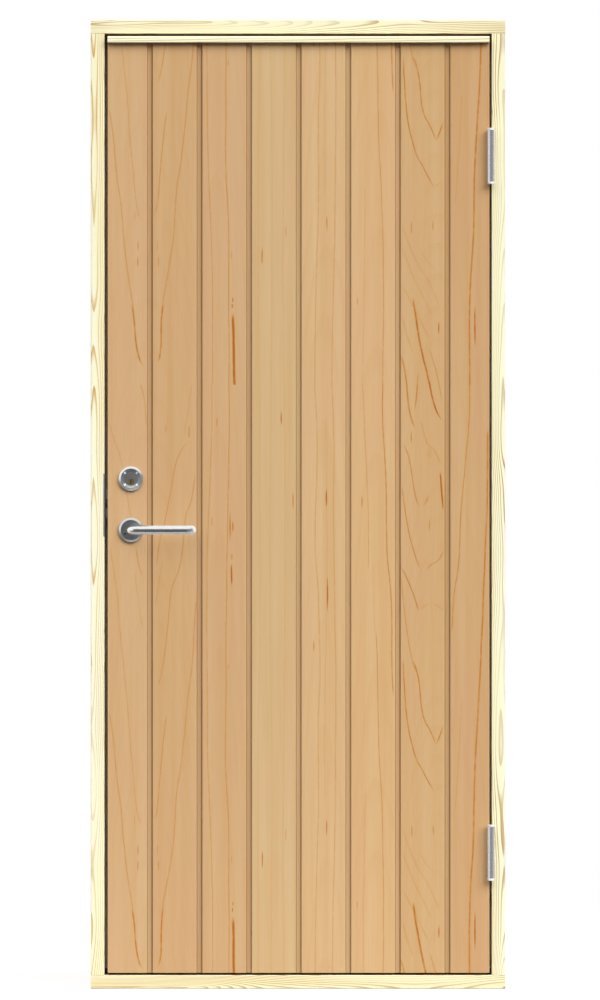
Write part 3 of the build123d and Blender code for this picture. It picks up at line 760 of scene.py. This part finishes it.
def screw_heads(name, centres, normal, radius, rise, body, material, socket="cross"):
    """Raised screw heads. Height over radius is a low dome, one less three quarters of the square of the
    share of the radius, and the driver's recess is cut into it where the point lies within the cross, or
    within the round socket. The widths below are shares of the radius."""
    cross_arm, cross_reach, socket_reach, fade, sink = 0.17, 0.62, 0.55, 0.08, 0.0002
    centres, normal = np.array(centres, float), np.array(normal, float)
    aside = np.array([0.0, 0.0, 1.0]) if abs(normal[2]) < 0.5 else np.array([1.0, 0.0, 0.0])
    first = np.cross(aside, normal)
    share = np.concatenate([[0.0], np.linspace(0.06, 1.0, 18), [1.0, 0.0]])
    angle = np.linspace(0.0, 2.0 * math.pi, 48, endpoint=False)
    s, a = np.meshgrid(share, angle, indexing="ij")
    u, v = s * np.cos(a), s * np.sin(a)
    height = rise * (1.0 - 0.75 * s ** 2)
    if socket == "cross":
        arm = np.minimum(np.abs(u), np.abs(v))
        inside = np.clip((cross_arm - arm) / 0.05, 0.0, 1.0) * np.clip((cross_reach - s) / fade, 0.0, 1.0)
    else:
        inside = np.clip((socket_reach - s) / fade, 0.0, 1.0)
    height = height - 0.8 * rise * inside
    height[-2:] = -sink
    spot = u[..., None] * radius * first + v[..., None] * radius * aside + height[..., None] * normal
    points = centres[:, None, None, :] + spot[None]
    return grid_piece(name, points, material, body)


LEVER_SIDE = LEVER_X - lows["lever_outside"][X]  # from the neck's axis to its side
LEVER_REACH = highs["lever_outside"][X] - LEVER_X - LEVER_SIDE
LEVER_OUT = FACE_Y - lows["lever_outside"][Y] - LEVER_SIDE
LEVER_SEAT = FACE_Y - highs["lever_outside"][Y]
LEVER_RADIUS = 0.9957 * (highs["lever_outside"][Z] - lows["lever_outside"][Z]) / 2  # stays inside the CAD box
LEVER_BEND, LEVER_END, LEVER_ROUND = 0.0150, 0.0180, 0.0020


def lever_bar(node, face, side):
    """A lever: a circle carried along a path of straight runs and quarter circles, from the rose out to the
    bar, along it and back towards the leaf, where its radius closes over a small quarter round."""
    quarter = np.linspace(0.0, math.pi / 2, 17)
    neck = np.linspace(LEVER_SEAT, LEVER_OUT - LEVER_BEND, 6)[:-1]
    bar = np.linspace(LEVER_BEND, LEVER_REACH - LEVER_BEND, 16)[1:-1]
    back = np.linspace(LEVER_OUT - LEVER_BEND, LEVER_END + LEVER_ROUND, 5)[1:]
    close = np.linspace(0.0, math.pi / 2, 9)[1:]
    along = np.concatenate([
        0.0 * neck, LEVER_BEND * (1.0 - np.cos(quarter)), bar,
        LEVER_REACH - LEVER_BEND * (1.0 - np.sin(quarter)),
        LEVER_REACH + 0.0 * back, LEVER_REACH + 0.0 * close,
    ])
    out = np.concatenate([
        neck, LEVER_OUT - LEVER_BEND * (1.0 - np.sin(quarter)), LEVER_OUT + 0.0 * bar,
        LEVER_OUT - LEVER_BEND * (1.0 - np.cos(quarter)),
        back, LEVER_END + LEVER_ROUND * (1.0 - np.sin(close)),
    ])
    lean = np.concatenate([
        0.0 * neck, quarter, math.pi / 2 + 0.0 * bar,
        math.pi / 2 + quarter, math.pi + 0.0 * back, math.pi + 0.0 * close,
    ])
    radius = np.full_like(along, LEVER_RADIUS)
    radius[-len(close):] -= LEVER_ROUND * (1.0 - np.cos(close))
    along, out, lean = (np.concatenate([v[:1], v, v[-1:]]) for v in (along, out, lean))
    radius = np.concatenate([[0.0], radius, [0.0]])
    angle = np.linspace(0.0, 2.0 * math.pi, 64, endpoint=False)
    across = radius[:, None] * np.sin(angle)
    x = LEVER_X + along[:, None] - across * np.cos(lean)[:, None]
    y = face + side * (out[:, None] + across * np.sin(lean)[:, None])
    z = LEVER_Z + radius[:, None] * np.cos(angle)
    points = np.stack([x, y, z], axis=-1)[None]
    piece = grid_piece(node + "_bar", points, handle_steel, "lever")
    piece.visible_shadow = False  # left out, because the photograph shows no shadow of the bar
    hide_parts(node)


lever_bar("lever_outside", FACE_Y, -1.0)
lever_bar("lever_inside", INNER_FACE_Y, 1.0)

HINGE_SCREW_ROWS = np.array([-0.043, 0.0, 0.043])  # heights from a hinge's middle
HINGE_SCREW_Y = np.array([-0.024, -0.018, -0.024])
HINGE_SCREW, STRIKE_SCREW, FOREND_SCREW = 0.0042, 0.0036, 0.0034  # radii of the heads
SCREW_RISE = 0.0008
STRIKE_INSET_LOW, STRIKE_INSET_HIGH, FOREND_INSET = 0.013, 0.012, 0.009  # screws from the plates' ends
ROSE_FLAT = 0.0072  # a rose's flat face in front of the leaf
GRUB_ASIDE, GRUB_BELOW, GRUB_RADIUS, GRUB_RISE = 0.0124, 0.0080, 0.0019, 0.0004

hinge_plates = (("leaf", highs["board_8"][X], 1.0), ("frame", highs["seal_hinge_side"][X], -1.0))
for place, z_mid in HINGE_HEIGHTS.items():
    for body, x, way in hinge_plates:
        spots = np.stack([np.full(3, x), HINGE_SCREW_Y, z_mid + HINGE_SCREW_ROWS], axis=1)
        name = f"hinge_{place}_{body}_screws"
        screw_heads(name, spots, (way, 0, 0), HINGE_SCREW, SCREW_RISE, body, hinge_steel)

strike_rows = (lows["strike_plate"][Z] + STRIKE_INSET_LOW, highs["strike_plate"][Z] - STRIKE_INSET_HIGH)
spots = [(highs["strike_plate"][X], BOLT_Y, z) for z in strike_rows]
name = "strike_plate_screws"
screw_heads(name, spots, (1, 0, 0), STRIKE_SCREW, SCREW_RISE, "frame", lock_steel)
forend_rows = (lows["lock_case"][Z] + FOREND_INSET, highs["lock_case"][Z] - FOREND_INSET)
spots = [(lows["lock_case"][X], BOLT_Y, z) for z in forend_rows]
name = "forend_screws"
screw_heads(name, spots, (-1, 0, 0), FOREND_SCREW, SCREW_RISE, "leaf", lock_steel)
for side, y, way in (("outside", FACE_Y - ROSE_FLAT, -1.0), ("inside", INNER_FACE_Y + ROSE_FLAT, 1.0)):
    spots = [(LEVER_X - GRUB_ASIDE, y, LEVER_Z - GRUB_BELOW)]
    screw_heads(
        f"rose_grub_screw_{side}", spots, (0, way, 0), GRUB_RADIUS, GRUB_RISE, "leaf",
        dark_steel, "round",
    )

CYLINDER_BORE = 0.0152  # radius of the rose's hole, where the slots begin
SLOT_HALF_LENGTH, SLOT_HALF_WIDTH = 0.00320, 0.00217  # of the linings, just inside the slots
SLOT_MIDDLE = 0.01845  # from the cylinder's axis
SLOT_FLOOR = 0.0044  # in front of the leaf
DISH_START, DISH_RISE, DISH_WIDTH = 0.0057, 0.0015, 0.0057  # the dished face: height at the bore, rise, run
LINING_SLOPE, LINING_SINK = 0.14, 0.0001


def spanner_notches():
    """Linings in the four slots of the cylinder's rose, nearly white and mostly non-metal as a painted
    highlight:
    each a shallow valley of two flanks that fall evenly from the slot's sides to a radial line. Its half
    width follows the slot's round ends, the square root of the end's radius squared less the way past the
    end's centre squared, and its edges follow the rose's dished face, which rises evenly from the bore to the
    rim."""
    run, side = np.meshgrid(np.linspace(-1.0, 1.0, 21), np.linspace(-1.0, 1.0, 9), indexing="ij")
    radius = SLOT_MIDDLE + SLOT_HALF_LENGTH * run
    end_centre = 0.00105  # from the slot's middle to the centre of its round end
    past = np.clip(np.abs(SLOT_HALF_LENGTH * run) - end_centre, 0.0, None)
    half = np.sqrt(np.clip(SLOT_HALF_WIDTH ** 2 - past ** 2, 1e-9, None))
    dish = DISH_START + DISH_RISE * np.clip((radius - CYLINDER_BORE) / DISH_WIDTH, 0.0, 1.0)
    top = dish - LINING_SINK - (1.0 - np.abs(side)) * LINING_SLOPE * half
    turn = (math.pi / 4 + math.pi / 2 * np.arange(4))[:, None, None]
    offset = half * side
    x = radius * np.cos(turn) - offset * np.sin(turn)
    z = radius * np.sin(turn) + offset * np.cos(turn)
    lining = np.stack([LEVER_X + x, FACE_Y - top + 0.0 * x, CYLINDER_Z + z], axis=-1)
    under = lining.copy()
    under[..., 1] = FACE_Y - SLOT_FLOOR
    loop = np.concatenate([lining, under[:, :, ::-1]], axis=2)
    ends = loop.mean(axis=2, keepdims=True) + 0.0 * loop
    loop = np.concatenate([ends[:, :1], loop, ends[:, -1:]], axis=1)
    return grid_piece("spanner_notches", loop, notch_highlight, "leaf")


spanner_notches()


# Stage, light and camera
FLOOR_RADIUS, FLOOR_X, FLOOR_Y, FLOOR_DROP = 2.1, 0.2, 1.32, 0.0005
FLOOR_SEEN, FLOOR_MIRRORED, FLOOR_GREY = 0.78, 0.25, 0.24  # light for the camera, for metal, and matt colour


def make_floor():
    """A round pale floor: radius and angle on a grid, flat just under the sill. The camera sees
    it as white, metal sees it dimmer, and it keeps the object's shadow."""
    rings, spokes = 12, 64
    radius = np.linspace(0.0, FLOOR_RADIUS, rings)
    angle = np.linspace(0.0, 2.0 * math.pi, spokes, endpoint=False)
    r, a = np.meshgrid(radius, angle, indexing="ij")
    flat = np.full_like(r, -FLOOR_DROP)
    points = np.stack([FLOOR_X + r * np.cos(a), FLOOR_Y + r * np.sin(a), flat], axis=-1).reshape(-1, 3)
    index = np.arange(rings * spokes).reshape(rings, spokes)
    after = np.roll(index, -1, axis=1)
    quads = np.stack([index[:-1], index[1:], after[1:], after[:-1]], axis=-1).reshape(-1, 4)
    mesh = bpy.data.meshes.new("floor")
    mesh.from_pydata(points.tolist(), [], quads.tolist())
    mesh.update()
    floor = bpy.data.objects.new("floor", mesh)
    bpy.context.scene.collection.objects.link(floor)
    material = bpy.data.materials.new("pale_floor")
    material.use_nodes = True
    tree = material.node_tree
    tree.nodes.clear()
    path = put(tree, "ShaderNodeLightPath").outputs
    clear = maths(tree, "MAXIMUM", path["Is Camera Ray"], path["Is Transmission Ray"])
    shown = maths(tree, "MULTIPLY", clear, FLOOR_SEEN)
    mirrored = maths(tree, "MULTIPLY", path["Is Glossy Ray"], FLOOR_MIRRORED)
    lift = put(tree, "ShaderNodeEmission", {"Strength": maths(tree, "MAXIMUM", shown, mirrored)})
    matt = put(tree, "ShaderNodeBsdfDiffuse", {"Color": (FLOOR_GREY, FLOOR_GREY, FLOOR_GREY, 1.0)})
    both = put(tree, "ShaderNodeAddShader", {0: matt.outputs[0], 1: lift.outputs[0]})
    put(tree, "ShaderNodeOutputMaterial", {"Surface": both.outputs[0]})
    mesh.materials.append(material)


make_floor()

AMBIENT = 0.09  # plain light from all round
WHITE = (1.0, 1.0, 1.0, 1.0)
world = bpy.data.worlds.new("studio")
bpy.context.scene.world = world
world.use_nodes = True
sky = world.node_tree
sky.nodes.clear()
path = put(sky, "ShaderNodeLightPath").outputs
way = put(sky, "ShaderNodeSeparateXYZ", {0: put(sky, "ShaderNodeTexCoord").outputs["Generated"]}).outputs
# What metal sees: white behind the object, above it and at the upper left, dim behind the camera
dim = ease(sky, maths(sky, "MULTIPLY", way[1], -1.0), 0.10, 0.75, 0.36, 0.10)
backed = ease(sky, way[1], -0.05, 0.30, dim, 1.0)
left_wall = maths(sky, "MULTIPLY", ease(sky, way[0], -0.48, -0.85), ease(sky, way[2], -0.32, -0.03))
walls = maths(sky, "MAXIMUM", left_wall, ease(sky, way[0], 0.10, 0.55, 0.0, 0.20))
bright = maths(sky, "MAXIMUM", ease(sky, way[2], 0.24, 0.62, 0.0, 1.0), walls)
room = maths(sky, "MAXIMUM", backed, bright)
backdrop = put(sky, "ShaderNodeBackground", {"Color": WHITE, "Strength": 1.0})
mirrored = put(sky, "ShaderNodeBackground", {"Color": WHITE, "Strength": room})
soft = put(sky, "ShaderNodeBackground", {"Color": WHITE, "Strength": AMBIENT})
glossy = path["Is Glossy Ray"]
inner = put(sky, "ShaderNodeMixShader", {0: glossy, 1: soft.outputs[0], 2: mirrored.outputs[0]})
seen = maths(sky, "MAXIMUM", path["Is Camera Ray"], path["Is Transmission Ray"])
whole = put(sky, "ShaderNodeMixShader", {0: seen, 1: inner.outputs[0], 2: backdrop.outputs[0]})
put(sky, "ShaderNodeOutputWorld", {"Surface": whole.outputs[0]})

# Wide soft lamps: name, strength, tilt from straight down, turn about the upright, width; angles in degrees
LAMPS = [
    ("right_window", 2.89, 54.7, 45.0, 42.0), ("left_window", 1.06, 45.0, -40.0, 60.0),
    ("front_window", 1.00, 40.0, 5.0, 44.0), ("back_window", 2.6, 66.0, 215.0, 68.0),
]
for name, strength, tilt, turn, width in LAMPS:
    lamp = bpy.data.lights.new(name, "SUN")
    lamp.energy, lamp.angle = strength, math.radians(width)
    window = bpy.data.objects.new(name, lamp)
    window.rotation_euler = (math.radians(tilt), 0.0, math.radians(turn))
    window.visible_glossy = False  # metal mirrors the room above, not the lamps
    bpy.context.scene.collection.objects.link(window)

LENS_MM, SENSOR_MM = 300.0, 36.0
VIEW_X, VIEW_Z = 0.0042, 1.0494  # the middle of the picture
lens = bpy.data.cameras.new("front_view")
lens.lens, lens.sensor_width, lens.clip_end = LENS_MM, SENSOR_MM, 200.0
camera = bpy.data.objects.new("front_view", lens)
camera.location = (VIEW_X, FACE_Y - LENS_MM / SENSOR_MM * IMAGE_HEIGHT, VIEW_Z)
camera.rotation_euler = (math.pi / 2, 0.0, 0.0)
bpy.context.scene.collection.objects.link(camera)
bpy.context.scene.camera = camera
bpy.context.scene.view_settings.view_transform = "Standard"

bpy.context.view_layer.update()
